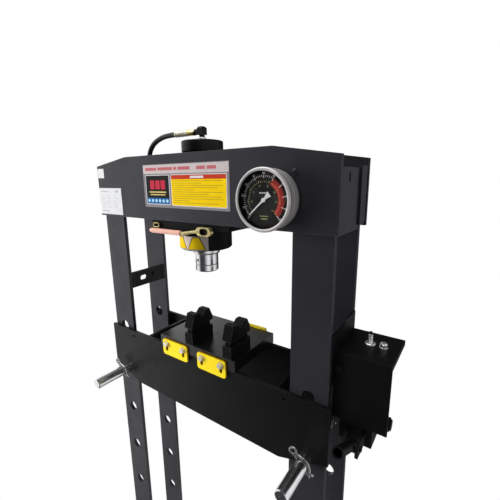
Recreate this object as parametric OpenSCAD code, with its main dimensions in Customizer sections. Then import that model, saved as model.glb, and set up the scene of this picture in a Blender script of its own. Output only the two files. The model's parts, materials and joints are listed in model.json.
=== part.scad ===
// Workshop hydraulic press of the H-frame type, floor standing.
// X runs across the press, the front faces -Y, Z is up and the floor is z = 0.

/* [Frame] */
// Length of the head beam and of the bed plates
beam_len = 700; // [600:10:800]
// Height of the underside of the head beam above the floor
beam_z = 1590; // [1400:10:1700]
// Height of a beam plate over its middle
beam_h = 154; // [120:2:200]
// Height of a beam plate at its ends
beam_end_h = 134; // [90:2:150]
// Length of the sloped part at each end of a beam plate
beam_slope = 130; // [60:5:180]
// Depth of the frame over both beam plates
frame_d = 164; // [140:2:220]
// Thickness of beam and bed plates
plate_t = 8; // [6:1:12]
// Width of one post bar
post_w = 82; // [60:2:110]
// Thickness of one post bar
post_t = 10; // [8:1:14]
// Distance from the beam end to the outer edge of a post
post_inset = 8; // [0:1:20]
// Thickness of the packing between rear posts and rear beam plate
rear_pack_t = 9; // [4:1:14]
// How far the posts reach up inside the head beam
post_in_beam = 118; // [80:2:126]

/* [Bed] */
// Height of the bed top above the floor
bed_z = 1255; // [1200:1:1300]
// Height of a bed plate over its middle
bed_h = 164; // [120:2:200]
// Height of a bed plate at its ends
bed_end_h = 128; // [90:2:140]
// Length of the sloped part at each end of a bed plate
bed_slope = 112; // [60:2:160]
// Diameter of a bed pin
pin_d = 29; // [20:1:34]
// Length of a bed pin
pin_len = 282; // [240:2:320]
// Distance between two pin holes in a post
pin_pitch = 140; // [100:5:200]
// Number of pin holes in each post
pin_holes = 7; // [3:1:8]

/* [Arbor plates] */
// Width of one arbor plate
arbor_w = 124; // [100:2:140]
// Length of one arbor plate, front to rear
arbor_l = 170; // [164:2:200]
// Thickness of an arbor plate
arbor_t = 28; // [20:1:40]
// Width of a retaining plate
keeper_w = 89; // [70:2:110]
// Height of a retaining plate
keeper_h = 43; // [34:1:56]
// Height of a V-block
vee_h = 78; // [60:1:100]
// Length of a V-block, front to rear
vee_l = 77; // [60:1:90]
// Thickness of a V-block across its base
vee_t = 25; // [18:1:40]

/* [Cylinder] */
// Position of the cylinder axis across the press
cyl_x = -25; // [-60:1:60]
// Outer radius of the cylinder tube and its cap
tube_r = 50; // [40:1:60]
// Outer radius of the cylinder head under the beam
head_r = 66; // [55:1:70]
// Radius of the ram
ram_r = 29.5; // [22:0.5:36]
// Radius of the bore in the cylinder tube
bore_r = 40; // [34:1:44]
// Running clearance of the ram and the piston, on the radius
run_c = 0.05; // [0.02:0.01:0.1]

/* [Gauge] */
// Radius of the gauge bezel
gauge_r = 57; // [40:1:60]
// Distance from the right end of the beam to the gauge centre
gauge_in = 125; // [90:1:180]
// Height of the gauge centre above the underside of the beam
gauge_h = 59; // [50:1:80]
// Distance from the beam plate to the front of the bezel
gauge_out = 45; // [35:1:60]

/* [Tank and hose] */
// Width of the cover over the pump tank
tank_w = 102; // [98:2:140]
// Depth of the cover over the pump tank
tank_d = 114; // [110:2:150]
// Height of the front apron of the cover
tank_h = 140; // [100:5:220]
// Distance from the beam down to the top of the cover
tank_drop = 220; // [180:5:300]
// Outer radius of the hose
hose_r = 6.5; // [5:0.5:8]
// Bend radius of the hose
hose_bend = 57; // [50:1:80]

/* [View] */
// Which node to draw

/* [Hidden] */
$fn = 64;
black = [0.13, 0.13, 0.14];
grey = [0.26, 0.26, 0.28];
dark = [0.08, 0.08, 0.09];
steel = [0.76, 0.76, 0.76];
zinc = [0.8, 0.79, 0.74];
gold = [0.78, 0.7, 0.38];
yellow = [0.98, 0.88, 0.1];
half_l = beam_len / 2;
yf = -frame_d / 2;
yr = frame_d / 2;
px = half_l - post_inset;
pin_x = px - post_w / 2;
pf_y = yf + plate_t;
pr_y = yr - plate_t - rear_pack_t - post_t;
post_gap_f = pf_y + post_t;
foot_t = 8;
post_top = beam_z + post_in_beam;
pin_z = bed_z - 137;
hole_top = pin_z + pin_pitch;
hole_d = pin_d + 3;
end_t = 7;
end_y = yf + 107;
strip_t = 6;
strip_w = 26;
brace_z = beam_z - 187;
brace_h = 46;
brace_t = 6;
foot_l = 560;
foot_h = 64;
tie_h = 60;
spacer_x = 187;
spacer_drop = 70;
arb_x = [-arbor_w, 1];
arb_y = -arbor_l / 2;
arb_z = bed_z + arbor_t;
keeper_t = 5;
keeper_z = arb_z - 7 - keeper_h;
keeper_up = 13;
keeper_x = [-67, 57];
slot_drop = 15.5;
bolt_dx = 30;
bolt_z = arb_z - 19;
vee_x = [arb_x[0] + arbor_w - vee_t - 6, arb_x[1] + arbor_w - vee_t - 10];
rail_h = 12;
rail_w = 26;
rail_l = 480;
carrier_z = beam_z + rail_h;
carrier_t = 12;
carrier_w = 260;
slide_gap = 7;
slide_t = 6;
slide_x0 = -140;
slide_x1 = 114;
bar_x0 = -131;
bar_y = yf + 2;
bar_t = 10;
bar_top = beam_z - 1.5;
bush_r = 5.7;
bush_w = 5.8;
head_top = beam_z - slide_gap - slide_t;
head_z = beam_z - 72;
tube_top = beam_z + 158;
cap_top = beam_z + 186;
collar_z = head_z - 16;
collar_r = ram_r + 5.5;
ram_z = beam_z - 133;
tip_h = 18;
piston_z = beam_z + 108;
piston_h = 34;
tie_x = 96;
tie_y = 34;
hub_x = 51;
hub_z = beam_z - 16;
hub_r = 9.7;
hub_w = 11.5;
socket_r = 7.2;
hub_y0 = yf - 10;
hub_y1 = yf - 0.6;
arm_y = yf - 7;
arm_l = 103;
grip_in = 9;
grip_l = 101;
grip_tip = 6;
arm_drop = 0.5;
arm_x = hub_x - 62;
arm_z = hub_z - 9;
knee_x = hub_x - 34;
knee_z = hub_z - 3.2;
elbow_z = cap_top + 22;
gauge_x = half_l - gauge_in;
g_z = beam_z + gauge_h;
g_y = yf - gauge_out;
bracket_t = 4;
tank_x = px + bracket_t;
tank_y = yf + 21;
tank_top = beam_z - tank_drop;
tank_z = tank_top - tank_h;
tank_wall = 3;
cover_t = 4;
lip_h = 10;
cap_l = [tank_x + 49, tank_y + 57];
cap_r = [tank_x + 73, tank_y + 60];
block_w = 64;
block_h = 60;
block_x = tank_x + 8;
block_y = tank_y + 25;
block_z = tank_z - block_h;
rock_y = tank_y - 8;
rock_z = block_z + 20;
port_z = block_z + 30;
valve_y = block_y + 50;
nut_l = 12;
lead_l = 5;
nut_h = 24;
ferrule_l = 44;
label_x = cyl_x - 124;
label_w = 270;
label_z = beam_z + 31;
label_h = 101;
label_t = 0.6;
data_w = 103;
data_h = 72;
tag_w = 30;
tag_h = 26;
// route of the hose. The free loop over the beam: [from the cylinder axis across, share of the
// way to the front plate, from the elbow upwards]
loop_pts = [
    [-90, 0, 0], [-96, 0, 0], [-103, 0, -0.1], [-117, 0, -0.7], [-130, 0, -1.9], [-142, 0, -4],
    [-155, 0, -7.6], [-166, 0, -12], [-176, 0, -17.5], [-184, 0, -24], [-191, 0, -32],
    [-196, 0, -41], [-199, 0, -51], [-200, 0.02, -63], [-199, 0.05, -77], [-196, 0.11, -91],
    [-190, 0.2, -104], [-181, 0.32, -115], [-170, 0.47, -123], [-157, 0.61, -129],
    [-142, 0.74, -133], [-125, 0.85, -136], [-107, 0.94, -138], [-89, 0.98, -139]
];
// the run inside the beam: [share of the way across, share of the way to the front plate, height
// above the underside of the beam]
run_pts = [
    [0.06, 1, 68], [0.13, 1, 67], [0.2, 1, 66], [0.27, 1, 65], [0.34, 1, 64], [0.4, 0.98, 63],
    [0.46, 0.94, 62], [0.52, 0.85, 61], [0.58, 0.74, 60], [0.63, 0.61, 59], [0.68, 0.48, 58],
    [0.735, 0.35, 56], [0.785, 0.24, 53], [0.83, 0.16, 48], [0.875, 0.1, 40], [0.913, 0.05, 29],
    [0.945, 0.02, 15], [0.968, 0, -2], [0.984, 0, -21], [0.993, 0, -42], [0.998, 0, -66]
];
run_y = yf + 20;
run_x = cyl_x + loop_pts[len(loop_pts) - 1][0];
end_x = block_x - nut_l;
bend_x = end_x - lead_l;
hose_x = bend_x - hose_bend;
leg_drop = 92;
leg_top = beam_z - leg_drop;
leg_l = leg_top - port_z - hose_bend - 20;
hose_pts = concat(
    [for (p = loop_pts) [cyl_x + p[0], p[1] * run_y, elbow_z + p[2]]],
    [for (p = run_pts) [run_x + (hose_x - run_x) * p[0], p[1] * run_y, beam_z + p[2]]],
    [for (k = [0 : 6]) [hose_x, 0, leg_top - k / 6 * leg_l]],
    [for (a = [0 : 15 : 90]) [bend_x - hose_bend * cos(a), 0, port_z + hose_bend * (1 - sin(a))]],
    [[end_x, 0, port_z]]
);
// wire of a pin clip: the straight leg, the eye and the leg that grips round the pin
clip_pts = concat(
    [[0, 0, -27], [0, 0, -14], [0, 0, 0], [0, 0, 14]],
    [for (a = [238 : -37 : -58]) [4 + 7.5 * cos(a), 0, 31 + 7.5 * sin(a)]],
    [[7.4, 0, 21.5], [9, 0, 18.5], [12, 0, 14], [15.4, 0, 8.5], [17.2, 0, 3], [17.2, 0, -3]],
    [[15.4, 0, -8.5], [12, 0, -14], [8.6, 0, -18], [7, 0, -21], [8, 0, -24], [11, 0, -27]]
);

// helpers
module box(x0, y0, z0, x1, y1, z1) {
    translate([x0, y0, z0]) cube([x1 - x0, y1 - y0, z1 - z0]);
}
module ycyl(x, z, y0, y1, r) {
    translate([x, y0, z]) rotate([-90, 0, 0]) cylinder(h = y1 - y0, r = r);
}
module xcyl(y, z, x0, x1, r) {
    translate([x0, y, z]) rotate([0, 90, 0]) cylinder(h = x1 - x0, r = r);
}
module zcyl(x, y, z0, z1, r) {
    translate([x, y, z0]) cylinder(h = z1 - z0, r = r);
}
module slab_xz(y0, t, pts) {
    translate([0, y0 + t, 0]) rotate([90, 0, 0]) linear_extrude(height = t) polygon(pts);
}
module slab_yz(x0, t, pts) {
    translate([x0, 0, 0]) rotate([90, 0, 90]) linear_extrude(height = t) polygon(pts);
}
function vdir(a) = a / norm(a);
function along(p, i) = vdir(p[min(i + 1, len(p) - 1)] - p[max(i - 1, 0)]);
function ring(p, i, r, n) =
    let (t = along(p, i), a = vdir(cross(t, [0, 1, 0])), b = cross(t, a))
    [for (k = [0 : n - 1]) p[i] + r * (cos(360 * k / n) * a + sin(360 * k / n) * b)];
module swept(p, r, n) {
    m = len(p);
    verts = [for (i = [0 : m - 1]) each ring(p, i, r, n)];
    side = [
        for (i = [0 : m - 2])
            for (k = [0 : n - 1])
                [i * n + k, (i + 1) * n + k, (i + 1) * n + (k + 1) % n, i * n + (k + 1) % n]
    ];
    first = [for (k = [0 : n - 1]) k];
    last = [for (k = [0 : n - 1]) (m - 1) * n + (n - 1 - k)];
    polyhedron(points = verts, faces = concat([first], side, [last]), convexity = 10);
}

// head beam
module beam_outline(y0) {
    slab_xz(y0, plate_t, [
        [-half_l, beam_z], [half_l, beam_z], [half_l, beam_z + beam_end_h],
        [half_l - beam_slope, beam_z + beam_h], [beam_slope - half_l, beam_z + beam_h],
        [-half_l, beam_z + beam_end_h]
    ]);
}
module beam_front_plate() {
    color(grey) union() {
        difference() {
            beam_outline(yf);
            ycyl(gauge_x, g_z, yf - 1, yf + plate_t + 1, 11.2);
        }
        box(-rail_l / 2, yf + plate_t, beam_z, rail_l / 2, yf + plate_t + rail_w - 10, beam_z + rail_h);
    }
}
module beam_rear_plate() {
    color(grey) union() {
        beam_outline(yr - plate_t);
        box(-rail_l / 2, yr - plate_t - rail_w + 10, beam_z, rail_l / 2, yr - plate_t, beam_z + rail_h);
    }
}

// posts
module post(side, y0) {
    x0 = side > 0 ? px - post_w : -px;
    color(grey) difference() {
        box(x0, y0, foot_t, x0 + post_w, y0 + post_t, post_top);
        for (i = [0 : pin_holes - 1])
            ycyl(side * pin_x, hole_top - i * pin_pitch, y0 - 1, y0 + post_t + 1, hole_d / 2);
    }
}
module end_plate(side) {
    x0 = side > 0 ? px : -px - end_t;
    color(grey) difference() {
        box(x0, pf_y, beam_z - 1, x0 + end_t, end_y, beam_z + 114);
        for (dz = [0, 12])
            xcyl(yf + 47, beam_z + 90 + dz, x0 - 1, x0 + end_t + 1, 4);
        box(x0 - 1, yf + 43, beam_z + 90, x0 + end_t + 1, yf + 51, beam_z + 102);
    }
}
module rear_packing(side) {
    z0 = beam_z + 8;
    x0 = px + end_t;
    color(grey) mirror([side > 0 ? 0 : 1, 0, 0]) union() {
        box(px - post_w + 8, pr_y + post_t, z0, px, yr - plate_t, post_top);
        box(px, end_y, z0, x0, yr - plate_t - 5, post_top);
        translate([x0, end_y - 7, z0]) linear_extrude(height = post_top - z0) union() {
            square([strip_t - 2, strip_w]);
            translate([0, 2]) square([strip_t, strip_w - 4]);
            for (y = [2, strip_w - 2])
                translate([strip_t - 2, y]) circle(r = 2);
        }
    }
}
module brace_left() {
    x0 = -px + post_w - brace_t;
    ym = yf + 58;
    zb = brace_z - brace_h / 2;
    color(grey) difference() {
        box(x0, post_gap_f, zb, x0 + brace_t, pr_y, zb + brace_h);
        for (dy = [-4, 4])
            xcyl(ym + dy, brace_z, x0 - 1, x0 + brace_t + 1, 7.5);
    }
    color(dark) translate([x0 + brace_t, yf + 96, brace_z + 3]) rotate([0, 90, 0])
        cylinder(h = 4, r = 6, $fn = 6);
}
module foot(side) {
    x0 = px - post_w - foot_t;
    color(black) mirror([side > 0 ? 0 : 1, 0, 0]) difference() {
        union() {
            box(x0, -foot_l / 2, 0, px + 5, foot_l / 2, foot_t);
            box(x0, -foot_l / 2, foot_t, x0 + foot_t, foot_l / 2, foot_h);
        }
        for (y = [-240, 240])
            zcyl(pin_x, y, -1, foot_t + 1, 7);
    }
}
module lower_tie() {
    x1 = px - post_w - foot_t;
    color(black) union() {
        box(-x1, -4, foot_t + 2, x1, 4, foot_t + 2 + tie_h - 12);
        box(-x1, 4, foot_t + 2, x1, 34, foot_t + 10);
    }
}

// bed
module bed_plate(y0) {
    color(grey) difference() {
        slab_xz(y0, plate_t, [
            [-half_l, bed_z], [-half_l, bed_z - bed_end_h], [bed_slope - half_l, bed_z - bed_h],
            [half_l - bed_slope, bed_z - bed_h], [half_l, bed_z - bed_end_h], [half_l, bed_z]
        ]);
        for (s = [-1, 1]) {
            ycyl(s * pin_x, pin_z, y0 - 1, y0 + plate_t + 1, pin_d / 2 + run_c);
            ycyl(s * 250, bed_z - 16, y0 - 1, y0 + plate_t + 1, 4);
        }
    }
}
module bed_spacer(x, top) {
    color(black) box(x - 4, yf + plate_t, bed_z - 120, x + 4, yr - plate_t, top);
}
module bed_pin(side) {
    y0 = yf - 100;
    color(steel) difference() {
        union() {
            ycyl(side * pin_x, pin_z, y0 + 2, y0 + pin_len, pin_d / 2);
            translate([side * pin_x, y0, pin_z]) rotate([-90, 0, 0])
                cylinder(h = 2, r1 = pin_d / 2 - 2, r2 = pin_d / 2);
        }
        translate([side * pin_x, yf - 16, pin_z]) rotate([0, -45, 0])
            cylinder(h = 40, r = 2.6, center = true);
    }
}
module pin_clip(side) {
    color(steel) translate([side * pin_x, yf - 16, pin_z]) rotate([0, -45, 0]) swept(clip_pts, 1.8, 8);
}

// arbor plates, retaining plates and V-blocks
module arbor_plate(i) {
    color(black) box(arb_x[i], arb_y, bed_z, arb_x[i] + arbor_w, arb_y + arbor_l, arb_z);
}
module keeper(i, y0, up) {
    r = 7;
    color(yellow) difference() {
        translate([keeper_x[i], y0 + keeper_t, keeper_z + up]) rotate([90, 0, 0])
            linear_extrude(height = keeper_t) union() {
                translate([-keeper_w / 2 + r, 0]) square([keeper_w - 2 * r, keeper_h]);
                translate([-keeper_w / 2, r]) square([keeper_w, keeper_h - 2 * r]);
                for (x = [r - keeper_w / 2, keeper_w / 2 - r], z = [r, keeper_h - r])
                    translate([x, z]) circle(r = r);
            }
        for (x = [keeper_x[i] - bolt_dx, keeper_x[i] + bolt_dx]) {
            ycyl(x, bolt_z, y0 - 1, y0 + keeper_t + 1, 4.5);
            ycyl(x, bolt_z - slot_drop, y0 - 1, y0 + keeper_t + 1, 4.5);
            box(x - 4.5, y0 - 1, bolt_z - slot_drop, x + 4.5, y0 + keeper_t + 1, bolt_z);
        }
    }
}
module keeper_bolt(x, front) {
    y0 = front ? arb_y - keeper_t : arb_y + arbor_l + keeper_t;
    translate([x, y0, bolt_z]) rotate([front ? 90 : -90, 0, 0]) union() {
        cylinder(h = 1.4, r = 7.5);
        translate([0, 0, 1.4]) cylinder(h = 5.4, r = 6.8, $fn = 6);
        translate([0, 0, -keeper_t]) cylinder(h = keeper_t, r = 4.4);
    }
}
module keeper_bolts() {
    color(zinc) for (i = [0, 1], s = [-1, 1], f = [true, false])
        keeper_bolt(keeper_x[i] + s * bolt_dx, f);
}
module v_block(i) {
    h = arb_z;
    y0 = arb_y;
    y1 = arb_y + vee_l;
    w = vee_x[i];
    top = h + vee_h;
    color(dark) union() {
        box(w, y0, h, w + vee_t, y1, h + 29);
        box(w + 5, y0 + 5, h + 28, w + vee_t - 5, y1 - 5, h + 44);
        slab_yz(w, vee_t, [
            [y0, h + 43], [y0 + 11, top], [y0 + 25, top], [y0 + 39, top - 13], [y0 + 53, top],
            [y1 - 11, top], [y1, top - 23], [y1, h + 43]
        ]);
    }
}

// cylinder, its slide and its clamp
module cylinder_carrier() {
    color(black) difference() {
        box(cyl_x - carrier_w / 2, yf + plate_t, carrier_z, cyl_x + carrier_w / 2, yr - plate_t,
            carrier_z + carrier_t);
        zcyl(cyl_x, 0, carrier_z - 1, carrier_z + carrier_t + 1, tube_r + 0.3);
        for (sx = [-1, 1], sy = [-1, 1])
            zcyl(cyl_x + sx * tie_x, sy * tie_y, carrier_z - 1, carrier_z + carrier_t + 1, 6.4);
    }
}
module slide_plate() {
    color(black) difference() {
        box(slide_x0, yf + 2 + bar_t, head_top, slide_x1, yr - 18, beam_z - slide_gap);
        zcyl(cyl_x, 0, head_top - 1, beam_z, tube_r + 0.3);
        for (sx = [-1, 1], sy = [-1, 1])
            zcyl(cyl_x + sx * tie_x, sy * tie_y, head_top - 1, beam_z, 6.4);
    }
}
module tie_bolts() {
    z1 = carrier_z + carrier_t;
    color(zinc) for (sx = [-1, 1], sy = [-1, 1]) translate([cyl_x + sx * tie_x, sy * tie_y, 0]) union() {
        zcyl(0, 0, head_top - 7, z1 + 12, 6);
        translate([0, 0, head_top - 7]) cylinder(h = 7, r = 10, $fn = 6);
        translate([0, 0, z1]) cylinder(h = 9, r = 10, $fn = 6);
    }
}
module clamp_bar() {
    bush_x = bar_x0 + 21;
    bush_z = beam_z - 12;
    color(dark) difference() {
        union() {
            box(bar_x0, bar_y, beam_z - 24, hub_x + 18, bar_y + bar_t, bar_top);
            box(hub_x + 18, bar_y, head_top, slide_x1, bar_y + bar_t, bar_top);
            for (dx = [-bush_w, bush_w])
                ycyl(bush_x + dx, bush_z, yf - 4, bar_y, bush_r);
            box(bush_x - bush_w, yf - 4, bush_z - bush_r, bush_x + bush_w, bar_y, bush_z + bush_r);
        }
        ycyl(hub_x, hub_z, yf, bar_y + bar_t + 1, 5 + run_c);
        ycyl(bush_x, bush_z, yf - 5, yf, 3.5);
    }
}
module clamp_lever() {
    color(gold) difference() {
        union() {
            for (dx = [-hub_w, hub_w])
                ycyl(hub_x + dx, hub_z, hub_y0, hub_y1, hub_r);
            box(hub_x - hub_w, hub_y0, hub_z - hub_r, hub_x + hub_w, hub_y1, hub_z + hub_r);
            ycyl(hub_x, hub_z, hub_y1, bar_y + bar_t - 1, 5);
            hull() {
                translate([hub_x - 18, arm_y, hub_z - 0.5]) sphere(r = 4.2, $fn = 24);
                translate([knee_x, arm_y, knee_z]) sphere(r = 3.4, $fn = 24);
            }
            hull() {
                translate([knee_x, arm_y, knee_z]) sphere(r = 3.4, $fn = 24);
                translate([arm_x, arm_y, arm_z]) sphere(r = 5, $fn = 24);
            }
            hull() {
                translate([arm_x, arm_y, arm_z]) sphere(r = 4.2, $fn = 24);
                translate([arm_x - arm_l, arm_y, arm_z - arm_drop]) sphere(r = 4.2, $fn = 24);
            }
        }
        for (dx = [-1.5, 4.5])
            ycyl(hub_x + dx, hub_z, hub_y0 - 1, hub_y0 + 7, socket_r);
        box(hub_x - 1.5, hub_y0 - 1, hub_z - socket_r, hub_x + 4.5, hub_y0 + 7, hub_z + socket_r);
    }
}
module lever_grip() {
    a = atan2(arm_drop, arm_l);
    color([0.82, 0.58, 0.5]) translate([arm_x, arm_y, arm_z]) rotate([0, -90 - a, 0]) difference() {
        union() {
            translate([0, 0, grip_in]) cylinder(h = grip_l, r = 6);
            translate([0, 0, grip_in + grip_l]) cylinder(h = grip_tip, r1 = 6, r2 = 4.5);
        }
        cylinder(h = grip_in + grip_l + 2, r = 4.3);
    }
}
module cylinder_tube() {
    color(dark) difference() {
        union() {
            zcyl(cyl_x, 0, head_top, tube_top, tube_r);
            zcyl(cyl_x, 0, carrier_z + carrier_t, carrier_z + carrier_t + 12, tube_r + 5);
        }
        zcyl(cyl_x, 0, head_top - 1, tube_top + 1, bore_r);
    }
}
module cylinder_cap() {
    color(dark) translate([cyl_x, 0, 0]) difference() {
        rotate_extrude() polygon([
            [0, tube_top - 8], [bore_r, tube_top - 8], [bore_r, tube_top], [tube_r, tube_top],
            [tube_r, cap_top - 3], [tube_r - 3, cap_top], [34, cap_top], [33, cap_top + 2], [0, cap_top + 2]
        ]);
        zcyl(0, 0, tube_top - 9, cap_top + 3, 3);
    }
}
module cylinder_head() {
    color(dark) difference() {
        translate([cyl_x, 0, 0]) rotate_extrude() polygon([
            [0, head_z], [head_r - 3, head_z], [head_r, head_z + 3], [head_r, head_top - 1],
            [head_r - 1, head_top], [0, head_top]
        ]);
        zcyl(cyl_x, 0, head_z - 1, head_top + 1, ram_r + run_c);
    }
}
module gland_collar() {
    color(zinc) translate([cyl_x, 0, 0]) rotate_extrude() polygon([
        [ram_r + run_c, head_z], [collar_r, head_z], [collar_r, collar_z + 5], [collar_r - 3, collar_z],
        [ram_r + run_c, collar_z]
    ]);
}
module ram_rod() {
    color(steel) difference() {
        union() {
            zcyl(cyl_x, 0, ram_z + tip_h, piston_z, ram_r);
            zcyl(cyl_x, 0, piston_z, piston_z + piston_h + 4, 14);
        }
        translate([cyl_x, 0, ram_z + tip_h + 12]) rotate([90, 0, -7]) translate([0, 0, ram_r - 8])
            cylinder(h = 9, r = 3);
    }
}
module ram_piston() {
    color(steel) difference() {
        zcyl(cyl_x, 0, piston_z, piston_z + piston_h, bore_r - run_c);
        zcyl(cyl_x, 0, piston_z - 1, piston_z + piston_h + 1, 14);
    }
}
module ram_tip() {
    r = ram_r;
    color(steel) translate([cyl_x, 0, ram_z]) rotate_extrude() polygon([
        [0, 0], [r - 3, 0], [r, 3], [r, tip_h - 1.2], [r - 1, tip_h], [0, tip_h]
    ]);
}

// hose line
module elbow() {
    z0 = cap_top + 2;
    color(dark) translate([cyl_x, 0, 0]) difference() {
        union() {
            translate([0, 0, z0]) cylinder(h = 6, r = 9, $fn = 6);
            zcyl(0, 0, z0 + 5, elbow_z, 6.5);
            box(-8.5, -8.5, elbow_z - 8, 8.5, 8.5, elbow_z + 7);
            translate([0, 0, elbow_z + 7]) rotate([0, 0, 45]) cylinder(h = 4, r1 = 12, r2 = 8, $fn = 4);
            xcyl(0, elbow_z, -22, 0, 7);
        }
        zcyl(0, 0, z0 - 1, elbow_z, 3);
    }
}
module hose_fittings() {
    color(gold) translate([cyl_x - 22, 0, elbow_z]) rotate([0, -90, 0]) union() {
        cylinder(h = nut_h, r = 8, $fn = 6);
        translate([0, 0, nut_h]) cylinder(h = ferrule_l, r = 7);
    }
    color(gold) translate([block_x, 0, port_z]) rotate([0, -90, 0])
        cylinder(h = nut_l, r = 9, $fn = 6);
}
module hose() {
    color([0.05, 0.05, 0.05]) swept(hose_pts, hose_r, 10);
}

// gauge
module gauge_case() {
    color(steel) union() {
        difference() {
            ycyl(gauge_x, g_z, g_y + 6, yf - 2, gauge_r - 2.5);
            ycyl(gauge_x, g_z, g_y + 5, yf - 5, gauge_r - 5);
        }
        difference() {
            ycyl(gauge_x, g_z, g_y + 13, yf - 5, 9);
            ycyl(gauge_x, g_z, g_y + 12, g_y + 24, 1.5 + run_c);
        }
        ycyl(gauge_x, g_z, yf - 2, yf, 16);
        ycyl(gauge_x, g_z, yf, yf + plate_t + 14, 11);
    }
}
module gauge_bezel() {
    color(steel) translate([gauge_x, g_y, g_z]) rotate([-90, 0, 0]) rotate_extrude() polygon([
        [gauge_r - 6, 1], [gauge_r - 4, 0], [gauge_r - 1.5, 0], [gauge_r, 1.5], [gauge_r, 10],
        [gauge_r - 2.5, 10], [gauge_r - 2.5, 6], [gauge_r - 6, 6]
    ]);
}
module gauge_glass() {
    color([0.85, 0.9, 0.92]) ycyl(gauge_x, g_z, g_y + 2, g_y + 4, gauge_r - 6);
}
module gauge_dial() {
    color(dark) difference() {
        ycyl(gauge_x, g_z, g_y + 9, g_y + 10, gauge_r - 5);
        ycyl(gauge_x, g_z, g_y + 8, g_y + 11, 1.55);
    }
}
module gauge_pointer() {
    color([0.95, 0.95, 0.95]) translate([gauge_x, g_y + 8, g_z]) rotate([90, 0, 0]) union() {
        cylinder(h = 2, r = 4);
        translate([0, 0, -14]) cylinder(h = 14, r = 1.5);
        rotate([0, 0, 222]) translate([0, 0, 0.3]) linear_extrude(height = 1)
            polygon([
                [-19, -3], [-15, -5.5], [-4, -1.6], [40, -0.5], [40, 0.5], [-4, 1.6], [-15, 5.5], [-19, 3]
            ]);
    }
}

// plates that carry print
module label_plates() {
    color([0.6, 0.6, 0.6]) box(label_x, yf - label_t, label_z, label_x + label_w, yf, label_z + label_h);
    color([0.92, 0.92, 0.92]) translate([1 - half_l, yf - label_t, beam_z + 4]) union() {
        cube([data_w, label_t, data_h]);
        translate([1, 0, data_h + 26]) cube([tag_w, label_t, tag_h]);
    }
}

// pump tank
module tank_bracket() {
    y1 = pr_y + 1;
    z0 = tank_top - 70;
    z1 = tank_top + 32;
    color(grey) slab_yz(px, bracket_t, [
        [pf_y, z0], [y1, z0], [y1, z1 + 7], [yf + 83, z1 + 7], [yf + 76, z1], [pf_y, z1]
    ]);
}
module tank_cover() {
    x1 = tank_x + tank_w;
    y1 = tank_y + tank_d;
    z1 = tank_top - cover_t;
    color(black) difference() {
        union() {
            box(tank_x, tank_y, z1, x1, y1, tank_top);
            box(tank_x, tank_y, tank_z, x1, tank_y + cover_t, z1);
            box(x1 - cover_t, tank_y, tank_top - lip_h, x1, y1, z1);
            box(tank_x, y1 - cover_t, tank_top - lip_h, x1, y1, z1);
            ycyl(tank_x + 9, tank_top - 32, tank_y - 1.5, tank_y, 8.5);
            translate([tank_x + 9, tank_y - 1.5, tank_top - 32]) rotate([90, 0, 0])
                cylinder(h = 4.5, r = 7, $fn = 6);
        }
        for (p = [cap_l, cap_r])
            zcyl(p[0], p[1], z1 - 1, tank_top + 1, 6);
    }
}
module tank() {
    x1 = tank_x + tank_w - 24;
    y0 = tank_y + cover_t;
    y1 = tank_y + tank_d - 4;
    z1 = tank_top - cover_t;
    color(dark) difference() {
        box(tank_x, y0, tank_z, x1, y1, z1);
        box(tank_x + tank_wall, y0 + tank_wall, tank_z + tank_wall, x1 - tank_wall, y1 - tank_wall, z1 + 1);
    }
}
module tank_caps() {
    z0 = tank_top - cover_t;
    color(zinc) translate([cap_l[0], cap_l[1], 0]) union() {
        zcyl(0, 0, z0, tank_top, 6);
        zcyl(0, 0, tank_top, tank_top + 6, 10);
        zcyl(0, 0, tank_top + 6, tank_top + 23, 4.5);
        zcyl(0, 0, tank_top + 23, tank_top + 28, 3.5);
    }
    color(zinc) translate([cap_r[0], cap_r[1], 0]) union() {
        zcyl(0, 0, z0, tank_top, 6);
        translate([0, 0, tank_top]) cylinder(h = 11, r = 8, $fn = 6);
    }
}
module pump_block() {
    y1 = block_y + block_w;
    color(black) difference() {
        union() {
            box(block_x, block_y, block_z, block_x + block_w, y1, tank_z);
            box(block_x + 18, rock_y - 14, rock_z - 12, block_x + 24, block_y, rock_z + 12);
            box(block_x + 46, rock_y - 14, rock_z - 12, block_x + 52, block_y, rock_z + 12);
        }
        xcyl(rock_y, rock_z, block_x + 17, block_x + 53, 5 + run_c);
        xcyl(valve_y, port_z, block_x + 45, block_x + block_w + 1, 6 + run_c);
    }
}
module pump_rocker() {
    xm = block_x + 35;
    color(grey) union() {
        xcyl(rock_y, rock_z, block_x + 15, block_x + 55, 5);
        xcyl(rock_y, rock_z, block_x + 25, block_x + 45, 11);
        translate([xm, rock_y, rock_z]) rotate([60, 0, 0]) difference() {
            translate([0, 0, 8]) cylinder(h = 82, r = 10);
            translate([0, 0, 26]) cylinder(h = 70, r = 7.5);
        }
    }
}
module release_knob() {
    x0 = block_x + block_w;
    color(black) union() {
        xcyl(valve_y, port_z, x0 - 18, x0 + 12, 6);
        xcyl(valve_y, port_z, x0 + 6, x0 + 22, 14);
        xcyl(valve_y, port_z, x0 + 22, x0 + 25, 11);
    }
}

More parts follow.
